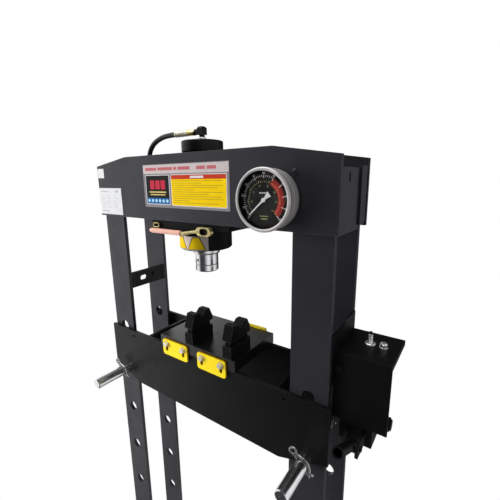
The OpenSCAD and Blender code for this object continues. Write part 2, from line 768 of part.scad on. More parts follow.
beam_front_plate();
beam_rear_plate();
post(-1, pf_y);  // post_front_left
post(1, pf_y);  // post_front_right
post(-1, pr_y);  // post_rear_left
post(1, pr_y);  // post_rear_right
end_plate(-1);  // end_plate_left
end_plate(1);  // end_plate_right
rear_packing(-1);  // rear_packing_left
rear_packing(1);  // rear_packing_right
brace_left();
foot(-1);  // foot_left
foot(1);  // foot_right
lower_tie();
bed_plate(yf);  // bed_front_plate
bed_plate(yr - plate_t);  // bed_rear_plate
bed_spacer(-spacer_x, bed_z);  // bed_spacer_left
bed_spacer(spacer_x, bed_z - spacer_drop);  // bed_spacer_right
bed_pin(-1);  // bed_pin_left
bed_pin(1);  // bed_pin_right
pin_clip(-1);  // pin_clip_left
pin_clip(1);  // pin_clip_right
arbor_plate(0);  // arbor_plate_left
arbor_plate(1);  // arbor_plate_right
keeper(0, arb_y - keeper_t, 0);  // keeper_front_left
keeper(1, arb_y - keeper_t, 0);  // keeper_front_right
keeper(0, arb_y + arbor_l, 0);  // keeper_rear_left
keeper(1, arb_y + arbor_l, keeper_up);  // keeper_rear_right
keeper_bolts();
v_block(0);  // v_block_left
v_block(1);  // v_block_right
cylinder_carrier();
slide_plate();
tie_bolts();
clamp_bar();
clamp_lever();
lever_grip();
cylinder_tube();
cylinder_cap();
cylinder_head();
gland_collar();
ram_rod();
ram_piston();
ram_tip();
elbow();
hose_fittings();
hose();
gauge_case();
gauge_bezel();
gauge_dial();
gauge_glass();
gauge_pointer();
label_plates();
tank_bracket();
tank_cover();
tank();
tank_caps();
pump_block();
pump_rocker();
release_knob();
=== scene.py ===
"""Finish, print, small forms and light of the workshop press, built on the solids of its frame."""
import json
import math

import bmesh
import bpy
from mathutils import Matrix, Vector


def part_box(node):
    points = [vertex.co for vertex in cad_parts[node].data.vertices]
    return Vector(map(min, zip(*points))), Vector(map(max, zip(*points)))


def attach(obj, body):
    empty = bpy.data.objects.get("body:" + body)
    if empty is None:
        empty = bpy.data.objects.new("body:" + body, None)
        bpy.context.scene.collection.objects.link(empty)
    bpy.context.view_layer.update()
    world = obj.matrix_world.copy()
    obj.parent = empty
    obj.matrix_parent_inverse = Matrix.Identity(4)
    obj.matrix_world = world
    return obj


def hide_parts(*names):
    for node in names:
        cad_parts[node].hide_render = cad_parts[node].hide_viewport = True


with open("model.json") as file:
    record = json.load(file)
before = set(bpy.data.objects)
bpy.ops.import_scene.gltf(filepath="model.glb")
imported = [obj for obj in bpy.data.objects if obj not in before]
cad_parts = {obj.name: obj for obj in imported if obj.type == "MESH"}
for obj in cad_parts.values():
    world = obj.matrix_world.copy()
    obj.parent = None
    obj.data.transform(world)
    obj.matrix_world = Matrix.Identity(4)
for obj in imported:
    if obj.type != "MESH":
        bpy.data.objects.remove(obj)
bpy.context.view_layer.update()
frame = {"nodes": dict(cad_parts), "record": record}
nodes = frame["nodes"]
scene = bpy.context.scene

# ---------------------------------------------------------------- sizes, in metres
MM = 0.001


def half_width(name):
    """Half of a node's reach along x."""
    lo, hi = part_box(name)
    return (hi.x - lo.x) / 2


# the beam's underside, its front and half its length
BEAM_LO, BEAM_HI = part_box("beam_front_plate")
BEAM_Z = BEAM_LO.z
BEAM_Y = BEAM_LO.y
HALF_L = BEAM_HI.x
# the cylinder, from its cap down to the ram's tip
CAP_LO, CAP_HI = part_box("cylinder_cap")
CYL_X = (CAP_LO.x + CAP_HI.x) / 2
CAP_TOP = CAP_HI.z
CAP_R = half_width("cylinder_cap")
HEAD_LO, HEAD_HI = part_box("cylinder_head")
HEAD_R = half_width("cylinder_head")
RAM_LO, RAM_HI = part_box("ram_rod")
RAM_R = half_width("ram_rod")
TIP_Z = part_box("ram_tip")[0].z
COLLAR_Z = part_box("gland_collar")[0].z
COLLAR_R = half_width("gland_collar")
# the gauge: the centre and front of its bezel, and the face of its dial
GAUGE_LO, GAUGE_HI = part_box("gauge_bezel")
GAUGE_X = (GAUGE_LO.x + GAUGE_HI.x) / 2
GAUGE_Z = (GAUGE_LO.z + GAUGE_HI.z) / 2
GAUGE_R = half_width("gauge_bezel")
GAUGE_Y = GAUGE_LO.y
DIAL_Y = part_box("gauge_dial")[0].y
# the hose's height at its two ends
ELBOW_Z = CAP_TOP + 20 * MM
BLOCK_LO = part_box("pump_block")[0]
PORT_Z = BLOCK_LO.z + 30 * MM
# the main panel's left edge, the front of the label plates, and the tank's top with its fittings
PANEL_X = CYL_X - 124 * MM
PANEL_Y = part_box("label_plates")[0].y
TANK_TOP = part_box("tank_cover")[1].z
BREATHER_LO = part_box("tank_caps")[0]

UP = (0, 0, 1)
FRONT = (0, -1, 0)
LEFT = (-1, 0, 0)

# ---------------------------------------------------------------- camera
CAMERA_AT = (0.5368, -0.6065, 1.6852)
CAMERA_PAN = math.radians(35.04)
CAMERA_TILT = math.radians(77.74)
CAMERA_ROLL = math.radians(-0.64)

cam_data = bpy.data.cameras.new("view_camera")
cam_data.sensor_width = 36.0
cam_data.lens = 23.44
cam_data.clip_start = 0.02
cam_data.clip_end = 60.0
cam = bpy.data.objects.new("view_camera", cam_data)
cam.matrix_world = (
    Matrix.Translation(CAMERA_AT)
    @ Matrix.Rotation(CAMERA_PAN, 4, "Z")
    @ Matrix.Rotation(CAMERA_TILT, 4, "X")
    @ Matrix.Rotation(CAMERA_ROLL, 4, "Z")
)
scene.collection.objects.link(cam)
scene.camera = cam
scene.view_settings.view_transform = "Standard"


# ---------------------------------------------------------------- node helpers
def tree(name):
    """A new material with its node tree and its main shader."""
    m = bpy.data.materials.new(name)
    m.use_nodes = True
    return m, m.node_tree, m.node_tree.nodes["Principled BSDF"]


def node(t, kind, **props):
    """A new node of the kind, with its settings."""
    n = t.nodes.new(kind)
    for key, value in props.items():
        setattr(n, key, value)
    return n


def coords(t, scale=(1, 1, 1)):
    """Positions on the object in metres, times the scale."""
    place = node(t, "ShaderNodeTexCoord")
    mapping = node(t, "ShaderNodeMapping")
    mapping.inputs["Scale"].default_value = scale
    t.links.new(place.outputs["Object"], mapping.inputs["Vector"])
    return mapping.outputs["Vector"]


def noise(t, vector, scale, detail=4.0, rough=0.5):
    """A value from 0 to 1 that drifts over the surface; a larger scale is finer."""
    n = node(t, "ShaderNodeTexNoise")
    n.inputs["Scale"].default_value = scale
    n.inputs["Detail"].default_value = detail
    n.inputs["Roughness"].default_value = rough
    t.links.new(vector, n.inputs["Vector"])
    return n.outputs["Fac"]


def ramp(t, value, stops):
    """A colour, or a grey given as one number, for each value; the stops are (value, colour)."""
    r = node(t, "ShaderNodeValToRGB")
    e = r.color_ramp.elements
    while len(e) < len(stops):
        e.new(0.5)
    for i, (place, colour) in enumerate(stops):
        e[i].position = place
        e[i].color = (*colour, 1.0) if len(colour) == 3 else (*colour * 3, 1.0)
    t.links.new(value, r.inputs["Fac"])
    return r.outputs["Color"]


def maths(t, operation, a, b):
    """The result of an operation on two numbers or outputs."""
    n = node(t, "ShaderNodeMath", operation=operation)
    for socket, value in zip(n.inputs, (a, b)):
        if isinstance(value, (int, float)):
            socket.default_value = value
        else:
            t.links.new(value, socket)
    return n.outputs["Value"]


def mixed(t, factor, a, b):
    """Colour a where the factor is 0, colour b where it is 1."""
    n = node(t, "ShaderNodeMix", data_type="RGBA")
    t.links.new(factor, n.inputs["Factor"])
    for key, value in (("A", a), ("B", b)):
        socket = next(s for s in n.inputs if s.name == key and s.type == "RGBA")
        if isinstance(value, tuple):
            socket.default_value = (*value, 1.0)
        else:
            t.links.new(value, socket)
    return next(s for s in n.outputs if s.type == "RGBA")


def either(t, factor, a, b):
    """Shader a where the factor is 0, shader b where it is 1."""
    mix = node(t, "ShaderNodeMixShader")
    for socket, value in zip(mix.inputs, (factor, a, b)):
        t.links.new(value, socket)
    return mix.outputs[0]


def bump(t, b, height, strength, distance):
    """Roughens the surface of shader b by a height texture; the distance is in metres."""
    n = node(t, "ShaderNodeBump")
    n.inputs["Strength"].default_value = strength
    n.inputs["Distance"].default_value = distance
    t.links.new(height, n.inputs["Height"])
    t.links.new(n.outputs["Normal"], b.inputs["Normal"])


def worn_edges(t, radius, low, high):
    """1 on the very edges, broken up by noise, and 0 on the faces; the paler edge colour laid through it is
    partly wear and partly painted highlight.
    """
    bevel = node(t, "ShaderNodeBevel", samples=4)
    bevel.inputs["Radius"].default_value = radius
    geometry = node(t, "ShaderNodeNewGeometry")
    dot = node(t, "ShaderNodeVectorMath", operation="DOT_PRODUCT")
    t.links.new(bevel.outputs["Normal"], dot.inputs[0])
    t.links.new(geometry.outputs["Normal"], dot.inputs[1])
    edge = maths(t, "SUBTRACT", 1.0, dot.outputs["Value"])
    breakup = noise(t, coords(t), 60.0, 6.0, 0.7)
    both = maths(t, "MULTIPLY", edge, maths(t, "MULTIPLY", breakup, 2.0))
    return ramp(t, both, [(low, (0.0,)), (high, (1.0,))])


# ---------------------------------------------------------------- materials
def paint(name, dark, light, rough=0.38, peel=0.12, coat=0.15, edge=None, grain=260.0, shine=0.26):
    """Sprayed paint: tone drift, faint dust, orange peel, and paler paint on the edges, partly wear and
    partly painted highlight.
    """
    m, t, b = tree(name)
    at = coords(t)
    colour = ramp(t, noise(t, at, 5.0, 6.0, 0.62), [(0.32, dark), (0.68, light)])
    if edge:
        colour = mixed(t, worn_edges(t, 0.0011, 0.10, 0.32), colour, edge)
    t.links.new(colour, b.inputs["Base Color"])
    dust = noise(t, at, 22.0, 8.0, 0.7)
    t.links.new(ramp(t, dust, [(0.3, (rough - 0.05,)), (0.72, (rough + 0.1,))]), b.inputs["Roughness"])
    bump(t, b, noise(t, at, grain, 3.0, 0.55), peel, 0.0004)
    b.inputs["Specular IOR Level"].default_value = shine
    b.inputs["Coat Weight"].default_value = coat
    b.inputs["Coat Roughness"].default_value = 0.32
    return m


def metal(name, dark, light, rough=0.25, brushed=(1, 1, 1), grain=400.0, stain=None, solid=1.0):
    """Machined or plated metal: tone drift, tool marks along the brushed axis, and patches of stain."""
    m, t, b = tree(name)
    at = coords(t)
    colour = ramp(t, noise(t, at, 35.0, 6.0, 0.65), [(0.3, dark), (0.7, light)])
    if stain:
        patch = ramp(t, noise(t, at, 90.0, 5.0, 0.7), [(0.5, (0.0,)), (0.72, (1.0,))])
        colour = mixed(t, patch, colour, stain)
    t.links.new(colour, b.inputs["Base Color"])
    marks = noise(t, coords(t, brushed), grain, 4.0, 0.6)
    low, high = max(0.03, rough - 0.07), rough + 0.1
    t.links.new(ramp(t, marks, [(0.25, (low,)), (0.75, (high,))]), b.inputs["Roughness"])
    bump(t, b, marks, 0.06, 0.0002)
    b.inputs["Metallic"].default_value = solid
    return m


def ink(name, colour, rough=0.5, drift=0.9):
    """Printed film: even colour with a slight mottle under a satin laminate."""
    m, t, b = tree(name)
    at = coords(t)
    faded = tuple(c * drift for c in colour)
    t.links.new(ramp(t, noise(t, at, 60.0, 5.0, 0.6), [(0.3, faded), (0.7, colour)]), b.inputs["Base Color"])
    t.links.new(ramp(t, noise(t, at, 40.0, 3.0, 0.5), [(0.3, (rough - 0.06,)), (0.7, (rough + 0.06,))]),
                b.inputs["Roughness"])
    b.inputs["Specular IOR Level"].default_value = 0.1
    bump(t, b, noise(t, at, 700.0, 2.0, 0.5), 0.03, 0.0002)
    return m


def yellow():
    """Signal yellow enamel, with an orange-brown painted shade where bolt heads and other parts stand close
    to it.
    """
    m = paint("yellow_paint", (0.93, 0.69, 0.0), (1.0, 0.77, 0.002), 0.3, 0.06, 0.2, (0.80, 0.56, 0.01))
    t, b = m.node_tree, m.node_tree.nodes["Principled BSDF"]
    clean = b.inputs["Base Color"].links[0].from_socket
    # painted shade: an ambient occlusion mask tints the yellow orange-brown within 9 mm of other geometry,
    # such as the bolt heads
    near = node(t, "ShaderNodeAmbientOcclusion", samples=8)
    near.inputs["Distance"].default_value = 0.009
    painted_shade = ramp(t, near.outputs["AO"], [(0.55, (1.0,)), (0.86, (0.0,))])
    t.links.new(mixed(t, painted_shade, clean, (0.30, 0.10, 0.0)), b.inputs["Base Color"])
    return m


def rubber():
    """Hose cover: black rubber with the faint spiral of its wrapping."""
    m, t, b = tree("hose_rubber")
    at = coords(t)
    t.links.new(ramp(t, noise(t, at, 45.0, 6.0, 0.6), [(0.3, (0.007,) * 3), (0.7, (0.014,) * 3)]),
                b.inputs["Base Color"])
    t.links.new(ramp(t, noise(t, at, 120.0, 4.0, 0.6), [(0.3, (0.34,)), (0.7, (0.52,))]),
                b.inputs["Roughness"])
    spiral = node(t, "ShaderNodeTexWave", wave_type="BANDS", bands_direction="DIAGONAL")
    spiral.inputs["Scale"].default_value = 160.0
    spiral.inputs["Distortion"].default_value = 1.5
    t.links.new(at, spiral.inputs["Vector"])
    bump(t, b, spiral.outputs["Fac"], 0.12, 0.0003)
    return m


def cast(name, dark, light, edge):
    """Black cast steel: grainy skin, paler on the edges, partly wear and partly painted highlight."""
    return paint(name, dark, light, 0.46, 0.3, 0.0, edge, 190.0, 0.08)


def glass():
    """Clear gauge glass, faintly smeared; it hardly bends the light, so the dial stays in place."""
    m, t, b = tree("clear_glass")
    b.inputs["Base Color"].default_value = (1, 1, 1, 1)
    b.inputs["Transmission Weight"].default_value = 1.0
    b.inputs["IOR"].default_value = 1.02
    smear = noise(t, coords(t), 30.0, 5.0, 0.6)
    t.links.new(ramp(t, smear, [(0.4, (0.01,)), (0.8, (0.05,))]), b.inputs["Roughness"])
    return m


MATERIALS = {
    "anthracite_paint": paint("anthracite_paint", (0.0160, 0.0156, 0.0200), (0.0215, 0.0210, 0.0270),
                              0.44, 0.10, 0.0, (0.15, 0.15, 0.16), shine=0.37),
    # on the bed plates, which the record gives this paint, its near-black is painted shade under the beam;
    # their paint is the frame's anthracite
    "black_paint": paint("black_paint", (0.0026, 0.0026, 0.0028), (0.0046, 0.0046, 0.005),
                         0.38, 0.12, 0.0, (0.035, 0.035, 0.037), shine=0.17),
    "yellow_paint": yellow(),
    "end_grey": paint("end_grey", (0.0215, 0.0210, 0.0265), (0.0290, 0.0282, 0.0355),
                      0.44, 0.10, 0.0, (0.15, 0.15, 0.16), shine=0.42),
    # paler copy of the yellow paint for the rear plates: its extra lightness is painted light, and it has
    # none of the yellow paint's painted shade
    "brightened_yellow": paint("brightened_yellow", (0.95, 0.74, 0.02), (1.0, 0.82, 0.05),
                          0.3, 0.06, 0.2, (0.85, 0.66, 0.05)),
    "gloss_black": paint("gloss_black", (0.004, 0.004, 0.004), (0.0065, 0.0065, 0.0068),
                         0.2, 0.05, 0.6, (0.05, 0.05, 0.053)),
    "polished_steel": metal("polished_steel", (0.66, 0.66, 0.67), (0.80, 0.80, 0.81), 0.2, (1, 1, 30), 240.0),
    "ground_steel": metal("ground_steel", (0.40, 0.40, 0.40), (0.54, 0.54, 0.54), 0.3),
    "zinc_plate": metal("zinc_plate", (0.76, 0.75, 0.73), (0.92, 0.91, 0.89), 0.27, solid=0.85),
    "yellow_zinc": metal("yellow_zinc", (0.52, 0.43, 0.18), (0.76, 0.68, 0.36), 0.26,
                         stain=(0.50, 0.33, 0.12), solid=0.8),
    "brass_fitting": metal("brass_fitting", (0.62, 0.46, 0.18), (0.80, 0.64, 0.32), 0.26),
    "pale_brass": metal("pale_brass", (0.64, 0.60, 0.47), (0.78, 0.74, 0.60), 0.32),
    "copper_sleeve": paint("copper_sleeve", (0.66, 0.33, 0.25), (0.78, 0.44, 0.35), 0.34, 0.05, 0.3),
    "hose_rubber": rubber(),
    "gauge_steel": metal("gauge_steel", (0.50, 0.48, 0.47), (0.66, 0.635, 0.62), 0.42,
                         grain=420.0, solid=0.55),
    "case_steel": metal("case_steel", (0.44, 0.42, 0.41), (0.58, 0.555, 0.54), 0.4,
                        grain=420.0, solid=0.5),
    "dial_face": paint("dial_face", (0.003, 0.003, 0.003), (0.005, 0.005, 0.005),
                       0.55, 0.03, 0.0, shine=0.14),
    "pointer_white": ink("pointer_white", (0.82, 0.82, 0.80)),
    "label_print": ink("label_print", (0.215, 0.20, 0.208)),
    "dull_black": cast("dull_black", (0.004, 0.004, 0.0042), (0.007, 0.007, 0.0075), (0.03, 0.03, 0.03)),
    "cast_block": cast("cast_block", (0.010, 0.010, 0.010), (0.016, 0.016, 0.016), (0.05, 0.05, 0.05)),
    "cast_steel": cast("cast_steel", (0.003, 0.003, 0.003), (0.006, 0.006, 0.006), (0.13, 0.13, 0.13)),
    "knob_plastic": paint("knob_plastic", (0.010, 0.010, 0.010), (0.015, 0.015, 0.015), 0.4, 0.15, 0.0),
    "clear_glass": glass(),
    "white_film": ink("white_film", (0.62, 0.62, 0.62)),
    "pale_film": ink("pale_film", (0.52, 0.45, 0.445)),
    "cream_film": ink("cream_film", (0.68, 0.58, 0.51)),
    "black_film": ink("black_film", (0.012, 0.012, 0.012)),
    "yellow_film": ink("yellow_film", (0.81, 0.55, 0.003)),
    "red_film": ink("red_film", (0.47, 0.042, 0.02)),
    "rose_film": ink("rose_film", (0.46, 0.13, 0.14)),
    "crimson_film": ink("crimson_film", (0.47, 0.03, 0.055)),
    "blue_film": ink("blue_film", (0.014, 0.115, 0.31)),
    "sky_film": ink("sky_film", (0.38, 0.60, 0.74)),
    "sand_film": ink("sand_film", (0.60, 0.48, 0.17)),
    "brown_film": ink("brown_film", (0.36, 0.25, 0.02)),
    "grey_film": ink("grey_film", (0.40, 0.40, 0.41)),
    "scale_white": ink("scale_white", (0.72, 0.70, 0.72)),
    "scale_green": ink("scale_green", (0.40, 0.42, 0.16)),
    "scale_red": ink("scale_red", (0.47, 0.04, 0.03)),
    "seal_rubber": paint("seal_rubber", (0.008, 0.008, 0.008), (0.012, 0.012, 0.012), 0.5, 0.1, 0.0),
}


# ---------------------------------------------------------------- mesh helpers
def make(name, verts, faces, material, body, sharp):
    """A closed-up mesh with smooth shading that breaks at the sharp angle, riding on its body."""
    mesh = bpy.data.meshes.new(name)
    mesh.from_pydata([tuple(v) for v in verts], [], faces)
    bm = bmesh.new()
    bm.from_mesh(mesh)
    bmesh.ops.remove_doubles(bm, verts=bm.verts, dist=1e-7)
    bmesh.ops.recalc_face_normals(bm, faces=bm.faces)
    bm.to_mesh(mesh)
    bm.free()
    mesh.shade_smooth()
    mesh.set_sharp_from_angle(angle=math.radians(sharp))
    mesh.materials.append(MATERIALS[material])
    obj = bpy.data.objects.new(name, mesh)
    scene.collection.objects.link(obj)
    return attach(obj, body)


def quads(first, second, n):
    """The faces between two rings of n points, given by the index of each ring's first point."""
    return [(first + k, first + (k + 1) % n, second + (k + 1) % n, second + k) for k in range(n)]


def stacked(count, n):
    """The faces between each ring of n points and the next, for a pile of rings."""
    return [face for i in range(count - 1) for face in quads(i * n, (i + 1) * n, n)]


def circle(place, up, side, radius, steps, shift=0.0):
    """Points round an axis, from the side direction on; shift is a part of one step."""
    other = up.cross(side)
    angles = [math.tau * (k + shift) / steps for k in range(steps)]
    return [Vector(place) + (side * math.cos(a) + other * math.sin(a)) * radius for a in angles]


def softened(points, radius, steps=4):
    """The line through the points with each corner between its ends rounded off."""
    pts = [Vector(p) for p in points]
    out = [pts[0]]
    for a, b, c in zip(pts, pts[1:], pts[2:]):
        cut = min(radius, (b - a).length * 0.45, (c - b).length * 0.45)
        start = b + (a - b).normalized() * cut
        end = b + (c - b).normalized() * cut
        for k in range(steps + 1):
            u = k / steps
            out.append(start * (1 - u) ** 2 + b * 2 * u * (1 - u) + end * u**2)
    return out + [pts[-1]]


def lathe(name, profile, place, axis, material, body="frame", steps=96, soft=0.0006):
    """Turns a profile of (radius, height) points in millimetres round an axis through the place."""
    line = [Vector((r * MM, h * MM, 0)) for r, h in profile]
    if soft:
        line = softened(line, soft)
    up = Vector(axis).normalized()
    side = up.orthogonal().normalized()
    verts = [v for p in line for v in circle(Vector(place) + up * p.y, up, side, p.x, steps, 0.5)]
    return make(name, verts, stacked(len(line), steps), material, body, 30.0)


def smooth_line(points, per):
    """Catmull-Rom curve through the points, with so many steps per span."""
    p = [Vector(v) for v in points]
    p = [p[0] * 2 - p[1]] + p + [p[-1] * 2 - p[-2]]
    out = []
    for a, b, c, d in zip(p, p[1:], p[2:], p[3:]):
        for k in range(per):
            u = k / per
            out.append(0.5 * (2 * b + (c - a) * u + (2 * a - 5 * b + 4 * c - d) * u**2
                              + (3 * b - a - 3 * c + d) * u**3))
    return out + [p[-2]]


def tube(name, line, radius, material, body="frame", sides=24):
    """A round section swept along the line without twisting; radius may be one value a point."""
    count = len(line)
    radii = radius if isinstance(radius, (list, tuple)) else [radius] * count
    ahead = (line[1] - line[0]).normalized()
    side = ahead.orthogonal().normalized()
    verts = []
    for i, p in enumerate(line):
        ahead = (line[min(i + 1, count - 1)] - line[max(i - 1, 0)]).normalized()
        side = (side - ahead * side.dot(ahead)).normalized()
        verts += circle(p, ahead, side, radii[i], sides)
    faces = stacked(count, sides)
    faces.append(tuple(range(sides)))
    faces.append(tuple(range((count - 1) * sides, count * sides)))
    return make(name, verts, faces, material, body, 50.0)


def outline(x0, x1, z0, z1, r=0.0, steps=5):
    """A rectangle with rounded corners, as (x, z) points."""
    if r <= 0:
        return [(x0, z0), (x1, z0), (x1, z1), (x0, z1)]
    left, right, low, high = x0 + r, x1 - r, z0 + r, z1 - r
    out = []
    for x, z, first in ((right, low, -90), (right, high, 0), (left, high, 90), (left, low, 180)):
        for k in range(steps + 1):
            a = math.radians(first + 90 * k / steps)
            out.append((x + r * math.cos(a), z + r * math.sin(a)))
    return out


def slabs(name, outlines, y_back, depth, material, body="frame"):
    """Thin raised fields that face the front, one for each outline of (x, z) points in metres."""
    verts = []
    faces = []
    for line in outlines:
        n = len(line)
        base = len(verts)
        verts += [(x, y_back, z) for x, z in line] + [(x, y_back - depth, z) for x, z in line]
        faces.append(tuple(range(base, base + n)))
        faces.append(tuple(range(base + n, base + 2 * n)))
        faces += quads(base, base + n, n)
    return make(name, verts, faces, material, body, 20.0)


def oval_ring(name, profile, place, half, material, body="frame", steps=20):
    """An oval that faces the front: (radius, height) points round two ends that stand half to each side."""
    verts = []
    for r, h in profile:
        for end in (1, -1):
            for k in range(steps + 1):
                a = math.radians(-90 + 180 * k / steps)
                verts.append((place[0] + end * (half + r * math.cos(a)) * MM, place[1] - h * MM,
                              place[2] + end * r * math.sin(a) * MM))
    return make(name, verts, stacked(len(profile), 2 * (steps + 1)), material, body, 30.0)


def hexagon(name, place, axis, flats, height, material, body="frame", bore=0.0, turn=0.0):
    """A hexagon nut or bolt head with chamfered corners, sizes in millimetres."""
    up = Vector(axis).normalized()
    side = Matrix.Rotation(math.radians(turn), 3, up) @ up.orthogonal().normalized()
    steps = 48
    half = flats / 2
    corner = half / math.cos(math.pi / 6) * 0.985
    levels = [(half * 0.94, 0.0), (corner, height * 0.12), (corner, height * 0.86), (half * 0.94, height)]
    verts = []
    for limit, h in levels:
        for k, way in enumerate(circle((0, 0, 0), up, side, 1.0, steps)):
            a = math.tau * k / steps
            flat = half / math.cos((a + math.pi / 6) % (math.pi / 3) - math.pi / 6)
            verts.append(Vector(place) + (up * h + way * min(flat, limit)) * MM)
    faces = stacked(len(levels), steps)
    top = (len(levels) - 1) * steps
    if bore:
        base = len(verts)
        for h in (0.0, height):
            verts += circle(Vector(place) + up * h * MM, up, side, bore * MM, steps)
        faces += quads(0, base, steps)
        faces += quads(top, base + steps, steps)
        faces += quads(base, base + steps, steps)
    else:
        faces.append(tuple(range(steps)))
        faces.append(tuple(range(top, top + steps)))
    return make(name, verts, faces, material, body, 20.0)


def weld(name, start, end, radius):
    """A painted weld bead: a low bulge with the ripples of the passes."""
    a, b = Vector(start), Vector(end)
    steps = max(12, int((b - a).length / (1.3 * MM)))
    line = [a.lerp(b, i / steps) for i in range(steps + 1)]
    ripples = [0.86 + 0.14 * math.sin(i * 2.1) + 0.05 * math.sin(i * 0.7) for i in range(steps + 1)]
    ripples[0] = ripples[-1] = 0.4
    return tube(name, line, [radius * MM * r for r in ripples], "anthracite_paint", "frame", 10)


# ---------------------------------------------------------------- CAD nodes: finish and edges
EDGE = 0.9 * MM
WIRE_SKIN = 0.6 * MM
# nodes whose edges the scene covers or that are too thin for a bevel
UNBEVELLED = ("hose", "gauge_glass", "gauge_dial", "label_plates", "gauge_pointer")
# finishes that differ from the record's, by the start of the node's name; the rear yellow plates
# take a paler yellow, whose extra lightness is painted light, and get no painted shade near bolts
SPECIAL_FINISHES = {
    "v_block": "cast_steel",
    # the arbor plates' black, darker than the frame's paint, is painted shade; their gloss is their own
    "arbor": "gloss_black",
    "keeper_rear": "brightened_yellow",
    "end_plate": "end_grey",
    "clamp_bar": "dull_black",
    "slide_plate": "dull_black",
    "cylinder_tube": "dull_black",
    "cylinder_carrier": "dull_black",
}
slots = {s["node"]: s["material_slot"] for s in frame["record"]["subparts"]}
for name, obj in nodes.items():
    special = [finish for start, finish in SPECIAL_FINISHES.items() if name.startswith(start)]
    finish = MATERIALS[special[0] if special else slots[name]]
    if not obj.material_slots:
        obj.data.materials.append(finish)
    for slot in obj.material_slots:
        slot.material = finish
    if name.startswith("pin_clip"):
        thicker = obj.modifiers.new("wire", "DISPLACE")
        thicker.mid_level = 0.0
        thicker.strength = WIRE_SKIN
    if name not in UNBEVELLED:
        edge = obj.modifiers.new("edges", "BEVEL")
        edge.width = EDGE
        edge.segments = 2
        edge.limit_method = "ANGLE"
        edge.angle_limit = math.radians(40)
        edge.harden_normals = True

# ---------------------------------------------------------------- ram and cylinder
ram_at = (CYL_X, 0, TIP_Z)
tip_h = (RAM_LO.z - TIP_Z) / MM
rod_top = (RAM_HI.z - TIP_Z) / MM
ram_r = RAM_R / MM
shank_r, shank_l = 14, 38
tip = lathe("ram_tip_turned",
            [(0, 0), (ram_r - 3, 0), (ram_r, 2.6), (ram_r, tip_h - 1.4), (ram_r - 1.2, tip_h - 0.4),
             (0, tip_h - 0.4)],
            ram_at, UP, "polished_steel", "ram")
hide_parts("ram_tip")
rod = lathe("ram_rod_turned",
            [(0, tip_h), (ram_r - 1.2, tip_h), (ram_r, tip_h + 0.9), (ram_r, rod_top - shank_l),
             (shank_r, rod_top - shank_l), (shank_r, rod_top), (0, rod_top)],
            ram_at, UP, "polished_steel", "ram")
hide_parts("ram_rod")
screw_turn = math.radians(-7)
screw_way = Vector((math.sin(screw_turn), -math.cos(screw_turn), 0))
screw_at = Vector((CYL_X, 0, RAM_LO.z + 12 * MM)) + screw_way * RAM_R
lathe("ram_set_screw", [(0, 0.06), (1.5, 0.06), (1.8, 0.2), (3.0, 0.2), (3.4, -0.2), (3.4, -2.0)],
      screw_at, screw_way, "seal_rubber", "ram", 32, 0.0002)
head_at = (CYL_X, 0, HEAD_LO.z)
bore_r = ram_r + 0.05
collar_h = (HEAD_LO.z - COLLAR_Z) / MM
collar_r = COLLAR_R / MM
collar = lathe("gland_collar_turned",
               [(bore_r, 0), (bore_r, -collar_h), (collar_r - 3, -collar_h),
                (collar_r - 0.6, -collar_h + 3.4), (collar_r - 0.6, -collar_h + 5),
                (collar_r, -collar_h + 5.6), (collar_r, 0), (bore_r, 0)],
               head_at, UP, "polished_steel")
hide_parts("gland_collar")
head_h = (HEAD_HI.z - HEAD_LO.z) / MM
head_r = HEAD_R / MM
head = lathe("cylinder_head_turned",
             [(bore_r, 0), (head_r - 3, 0), (head_r, 3), (head_r, head_h - 1), (head_r - 1, head_h),
              (bore_r, head_h), (bore_r, 0)],
             head_at, UP, "dull_black", steps=128)
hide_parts("cylinder_head")
cap_r = CAP_R / MM
cap = lathe("cylinder_cap_turned",
            [(0, -36), (40, -36), (40, -28), (cap_r, -28), (cap_r, -4), (cap_r - 3.2, -2), (34, -2), (33, 0),
             (0, 0)],
            (CYL_X, 0, CAP_TOP), UP, "black_paint", steps=128, soft=0.0012)
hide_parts("cylinder_cap")

# ---------------------------------------------------------------- elbow, fittings and hose
lathe("elbow_neck_ring", [(6.6, 0.4), (8.4, 0.4), (9.3, 1.6), (9.3, 5.2), (8.2, 6.4), (6.6, 6.4)],
      (CYL_X, 0, CAP_TOP), UP, "zinc_plate", steps=64)
out_x = CYL_X - 22 * MM
nut = hexagon("hose_nut", (out_x, 0, ELBOW_Z), LEFT, 14.6, 20, "brass_fitting", bore=5.5, turn=18)
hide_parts("hose_fittings")
lathe("hose_nut_shoulder", [(5.0, 19), (6.4, 19), (7.2, 20.4), (7.2, 23.4), (6.4, 24.4), (5.0, 24.4)],
      (out_x, 0, ELBOW_Z), LEFT, "brass_fitting", steps=48)
ferrule = [(6.2, 24.2), (7.4, 25.0)]
for crimp in range(5):
    start = 29.0 + crimp * 7.4
    ferrule += [(7.4, start), (6.7, start + 1.0), (6.7, start + 2.6), (7.4, start + 3.6)]
ferrule += [(7.4, 66.6), (6.6, 68.0), (5.6, 68.0)]
lathe("hose_ferrule", ferrule, (out_x, 0, ELBOW_Z), LEFT, "pale_brass", steps=64, soft=0.0005)
hexagon("hose_end_nut", (BLOCK_LO.x, 0, PORT_Z), LEFT, 16.4, 12, "brass_fitting", bore=5.5, turn=10)
